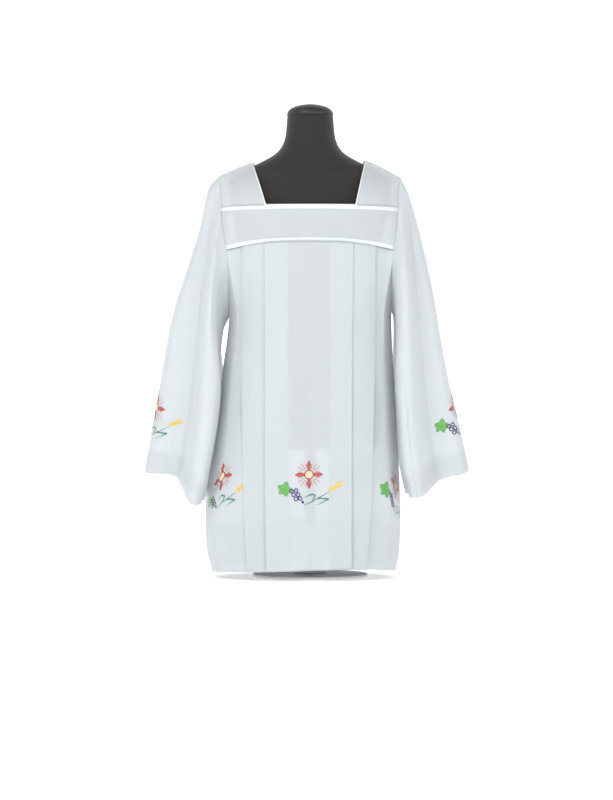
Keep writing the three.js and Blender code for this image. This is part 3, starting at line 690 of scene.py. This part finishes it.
levels = np.linspace(FORM["z"][0], FORM["z"][-1], 150)[:, None]
angle = (np.arange(128) / 128 * 2 * np.pi)[None, :]
c, s = np.cos(angle), np.sin(angle)
reach = np.where(s < 0, read(FORM, levels, "front"), read(FORM, levels, "back"))
torso = np.stack([
    FORM_X + read(FORM, levels, "half") * np.sign(c) * np.abs(c) ** (2 / 2.2),
    reach * np.sign(s) * np.abs(s) ** (2 / 2.2), levels + 0 * angle], -1)
closed_form("form_torso_cover", torso, jersey, "form_torso")
dome = np.linspace(0, np.pi / 2, 16)[:-1]
cap = [(55.5, 1116.6), (56.5, 1117.6), (56.5, 1121)] + [
    (56.5 * np.cos(a), 1121 + 25 * np.sin(a) ** 0.9) for a in dome[1:]] + [(1.5, 1146)]
lathe("form_cap_turned", cap, stained_wood, "form_neck_cap")
lathe("form_post_tube", [(40, 2.4), (40, 9), (38.5, 10), (16, 11.5), (14, 14), (14, 306.4)],
      brushed_steel, "form_post")
lathe("form_base_plate", [(139, FLOOR), (140, FLOOR + 1), (140, 0.5), (138.5, 2.0), (137, 2.2)],
      powder_coat, "form_base")

# ---------------------------------------------------------------- stitched motifs
RED, DARK_RED, CREAM = "#C25450", "#8E3B3B", "#F3D9B0"
GREEN, DARK_GREEN, STEM, VIOLET, GOLD = "#6DB35B", "#4E9A45", "#4F9070", "#3B2A6B", "#F2CB62"


def ribbon(points, half_widths, colour, lift):
    """A flat band along a centre line, three points across, in the motif's own millimetres."""
    points = np.array(points, float)
    steps = np.linspace(0, len(points) - 1, 7 * (len(points) - 1) + 1)
    number = np.arange(len(points))
    line = np.stack([np.interp(steps, number, points[:, i]) for i in (0, 1)], -1)
    half = np.interp(steps, np.linspace(0, len(points) - 1, len(half_widths)), half_widths)
    way = np.gradient(line, axis=0)
    way /= np.maximum(np.linalg.norm(way, axis=1, keepdims=True), 1e-9)
    side = np.stack([-way[:, 1], way[:, 0]], -1) * half[:, None]
    return np.stack([line - side, line, line + side], 1), colour, lift


def patch(centre, radii, colour, lift, first=0.02):
    """A star-shaped patch: radii at equal angles round its centre, from a share of them outward."""
    angle = np.linspace(0, 2 * np.pi, 49)
    r = np.interp(angle, np.linspace(0, 2 * np.pi, len(radii)), radii)
    rim = np.stack([r * np.cos(angle), r * np.sin(angle)], -1)
    return np.array(centre) + rim[None] * np.linspace(first, 1, 5)[:, None, None], colour, lift


def motif_shapes():
    """Flat bands and patches of one motif, in millimetres from the middle of its ring."""
    shapes = []
    for quarter in range(4):
        a = quarter * np.pi / 2
        way = np.array([np.cos(a), np.sin(a)])
        arm = [way * r for r in (10, 18, 24, 33.5)]
        shapes.append(ribbon(arm, [3.4, 3.6, 5.6, 0.5], DARK_RED, 0.45))
        shapes.append(ribbon([way * r for r in (10, 18, 24, 31)], [2.2, 2.4, 4.3, 0.4], RED, 0.6))
        for ray, reach in ((18, 27), (36, 33), (54, 33), (72, 27)):
            b = a + np.radians(ray)
            line = [np.array([np.cos(b), np.sin(b)]) * r for r in (16, reach)]
            shapes.append(ribbon(line, [0.75, 0.5], RED, 0.45))
    shapes.append(patch((0, 0), [9.6, 9.6], CREAM, 0.5))
    shapes.append(patch((0, 0), [11.5, 11.5], DARK_RED, 0.7, 0.76))
    shapes.append(patch((0, 0), [10.8, 10.8], RED, 0.8, 0.84))
    lobes = [20, 13, 21, 12, 19, 11, 16, 8, 17, 12, 20]
    shapes.append(patch((-59, -35), lobes, DARK_GREEN, 0.45))
    shapes.append(patch((-59, -35), [r * 0.88 for r in lobes], GREEN, 0.6))
    for vein in (0.0, 1.26, 2.5, 5.0):
        tip = [-59 + 14 * np.cos(vein), -35 + 14 * np.sin(vein)]
        shapes.append(ribbon([(-59, -35), tip], [0.6, 0.3], DARK_GREEN, 0.75))
    for x, y in ((-42, -38), (-31, -37), (-37, -47), (-26, -47), (-31, -57), (-21, -56)):
        shapes.append(patch((x, y), [5.4, 5.4], VIOLET, 0.6, 0.55))
    shapes.append(patch((-15, -65), [3.2, 3.2], VIOLET, 0.6))
    shapes.append(ribbon([(-12, -72), (8, -64), (16, -59), (47, -43)], [0.8, 1.1, 1.0, 0.7], STEM, 0.5))
    shapes.append(ribbon([(-11, -54), (6, -47), (15, -49), (8, -64)], [0.5, 2.0, 1.6, 0.8], STEM, 0.55))
    shapes.append(ribbon([(16, -59), (27, -57), (47, -59), (21, -72)], [0.6, 1.8, 1.6, 0.5], STEM, 0.55))
    way, out = np.array([0.88, 0.47]), np.array([-0.47, 0.88])
    for i in range(6):
        foot = np.array([47.0, -39.0]) + way * i * 5.6
        for turn in (-1, 1):
            grain = [foot, foot + way * 4.5 + out * turn * 3.2, foot + way * 9.5 + out * turn * 3.6]
            shapes.append(ribbon(grain, [0.5, 2.1, 0.3], GOLD, 0.55))
            awn = [foot + way * 8 + out * turn * 3, foot + way * 17 + out * turn * (5 + i * 0.3)]
            shapes.append(ribbon(awn, [0.4, 0.25], GOLD, 0.5))
    return shapes


def sample(values, row, column):
    """Values of a grid between its rows and columns."""
    r = np.clip(np.floor(row).astype(int), 0, values.shape[0] - 2)
    c = np.clip(np.floor(column).astype(int), 0, values.shape[1] - 2)
    s, t = (row - r)[..., None], (column - c)[..., None]
    upper = values[r, c] * (1 - t) + values[r, c + 1] * t
    lower = values[r + 1, c] * (1 - t) + values[r + 1, c + 1] * t
    return upper * (1 - s) + lower * s


def motif(name, grid, normals, row, column, sign=1):
    """Lays the motif's shapes on a grid, by lengths along the row and the column at its centre.
    Faces that would reach past the grid's sides are left out."""
    along = np.cumsum(np.linalg.norm(np.diff(grid[row], axis=0, prepend=grid[row, :1]), axis=1))
    down = np.cumsum(np.linalg.norm(np.diff(grid[:, column], axis=0, prepend=grid[:1, column]), axis=1))
    along, down = along - along[column], down - down[row]
    points, faces, colours, start = [], [], [], 0
    for flat, colour, lift in motif_shapes():
        u, v = flat[..., 0] * sign, -flat[..., 1]
        c = np.interp(u, along, np.arange(len(along)))
        r = np.interp(v, down, np.arange(len(down)))
        n = sample(normals, r, c)
        n /= np.maximum(np.linalg.norm(n, axis=-1, keepdims=True), 1e-9)
        made = sample(grid, r, c) + n * lift
        cells = grid_faces(*flat.shape[:2])
        inside = ((u > along[0] + 1) & (u < along[-1] - 1)).ravel()
        cells = cells[inside[cells].all(1)]
        if len(cells) == 0:
            continue
        corner = made.reshape(-1, 3)[cells]
        turned = np.cross(corner[:, 1] - corner[:, 0], corner[:, 2] - corner[:, 0])
        wrong = (turned * n.reshape(-1, 3)[cells[:, 0]]).sum(1) < 0
        cells = np.where(wrong[:, None], cells[:, ::-1], cells)
        points.append(made.reshape(-1, 3))
        faces.append(cells + start)
        colours.append(np.tile(linear(colour)[:3], (made[..., 0].size, 1)))
        start += made[..., 0].size
    points, faces, colours = np.concatenate(points), np.concatenate(faces), np.concatenate(colours)
    used, back_to = np.unique(faces, return_inverse=True)
    piece = mesh_object(name, points[used], back_to.reshape(faces.shape), None, colours[used])
    piece.data.materials.append(thread)
    return piece


# Trilobal polyester machine-embroidery thread: a satin gleam, fine stitches of about 0.4 mm.
thread, thread_tree, thread_shader = material("satin embroidery thread")
dyed = node(thread_tree, "VertexColor", {"layer_name": "thread"})
spot = node(thread_tree, "TexCoord")
stitch = node(thread_tree, "TexNoise", {"Scale": 1500.0, "Detail": 2.0}, {"Vector": spot.outputs["Object"]})
relief = node(thread_tree, "Bump", {"Strength": 0.4, "Distance": 0.0003}, {"Height": stitch.outputs["Fac"]})
thread_tree.links.new(dyed.outputs["Color"], thread_shader.inputs["Base Color"])
thread_tree.links.new(relief.outputs["Normal"], thread_shader.inputs["Normal"])
thread_shader.inputs["Roughness"].default_value = 0.45
thread_shader.inputs["Sheen Weight"].default_value = 0.2

front = fronts[-1]
front_out = normals_of(front)
front_out = front_out * np.sign(-front_out[60, front.shape[1] // 2, 1])
centre_column = front.shape[1] // 2
middle_steps, side_steps = RUNS[0][3], RUNS[-1][3]
for name, x, z, first, last in (
    ("motif_middle", 0, 247, centre_column - middle_steps, centre_column + middle_steps + 1),
    ("motif_left_side", -210, 246, 0, side_steps + 1),
    ("motif_right_side", 208, 245, front.shape[1] - side_steps - 1, front.shape[1])):
    part = front[:, first:last]
    middle_column = part.shape[1] // 2
    row = int(np.argmin(np.abs(part[:, middle_column, 2] - z)))
    column = int(np.argmin(np.abs(part[row, :, 0] - x)))
    motif(name, part, front_out[:, first:last], row, column)
for side, name, shift in ((-1, "motif_left_sleeve", 24), (1, "motif_right_sleeve", 14)):
    ring = sleeves[side]
    ring_out = normals_of(ring, True)
    ring_out = ring_out * np.sign(((ring - ring.mean(1, keepdims=True)) * ring_out).sum())
    half = ring.shape[1] // 2
    ring, ring_out = np.roll(ring, half, 1), np.roll(ring_out, half, 1)
    row = int(np.argmin(np.abs(ring[:, half, 2] - 410)))
    along = np.cumsum(np.linalg.norm(np.diff(ring[row], axis=0, prepend=ring[row, :1]), axis=1))
    column = int(np.argmin(np.abs(along - along[half] - shift)))
    motif(name, ring, ring_out, row, column, -side)

# ---------------------------------------------------------------- stage, light and camera
plane = bpy.data.meshes.new("pale_sweep")
run = np.concatenate([[-9000, 900], 900 + 900 * np.sin(np.linspace(0.1, np.pi / 2, 12)), [1800]])
lift = np.concatenate([[0, 0], 900 * (1 - np.cos(np.linspace(0.1, np.pi / 2, 12))), [6000]])
sweep = np.stack([np.stack([np.full(len(run), x), run, lift - 6.0], -1) for x in (-7000.0, 7000.0)], 1)
plane.from_pydata(placed(sweep.reshape(-1, 3)).tolist(), [], grid_faces(len(run), 2).tolist())
plane.polygons.foreach_set("use_smooth", np.ones(len(plane.polygons), bool))
floor = bpy.data.objects.new("pale_sweep", plane)
bpy.context.collection.objects.link(floor)
paper, _, paper_shader = material("white paper sweep")
paper_shader.inputs["Base Color"].default_value = linear("#FAFAFA")
paper_shader.inputs["Roughness"].default_value = 0.9
paper_shader.inputs["Emission Color"].default_value = (1, 1, 1, 1)
paper_shader.inputs["Emission Strength"].default_value = 0.45
plane.materials.append(paper)

world = bpy.data.worlds.new("soft studio")
bpy.context.scene.world = world
world.use_nodes = True
world.node_tree.nodes["Background"].inputs["Color"].default_value = (0.97, 0.985, 1.0, 1)
world.node_tree.nodes["Background"].inputs["Strength"].default_value = 0.5


def soft_box(name, place, aim, size, power):
    """A square area lamp at one place, turned to face another; metres and watts."""
    lamp = bpy.data.lights.new(name, "AREA")
    lamp.shape, lamp.size, lamp.energy = "SQUARE", size, power
    made = bpy.data.objects.new(name, lamp)
    bpy.context.collection.objects.link(made)
    from_point, to_point = np.array(place), np.array(aim)
    made.location = from_point
    made.rotation_euler = mathutils.Vector(to_point - from_point).to_track_quat("-Z", "Y").to_euler()


soft_box("key", (-1.6, -3.2, 2.4), (0, 0, 0.6), 1.8, 60)
soft_box("fill", (2.2, -3.4, 1.6), (0, 0, 0.5), 2.2, 34)

CAMERA_Z, CAMERA_AWAY, VIEW_HEIGHT = 424.8, 6000.0, 1920.0
camera = bpy.data.cameras.new("camera")
camera.sensor_fit, camera.sensor_height = "VERTICAL", 36.0
camera.lens = 36.0 * CAMERA_AWAY / VIEW_HEIGHT
camera.clip_end = 50
eye = bpy.data.objects.new("camera", camera)
eye.location = placed(np.array([-6.0, -100.0 - CAMERA_AWAY, CAMERA_Z]))
eye.rotation_euler = (np.pi / 2, 0, 0)
bpy.context.collection.objects.link(eye)
bpy.context.scene.camera = eye
bpy.context.scene.view_settings.view_transform = "Standard"
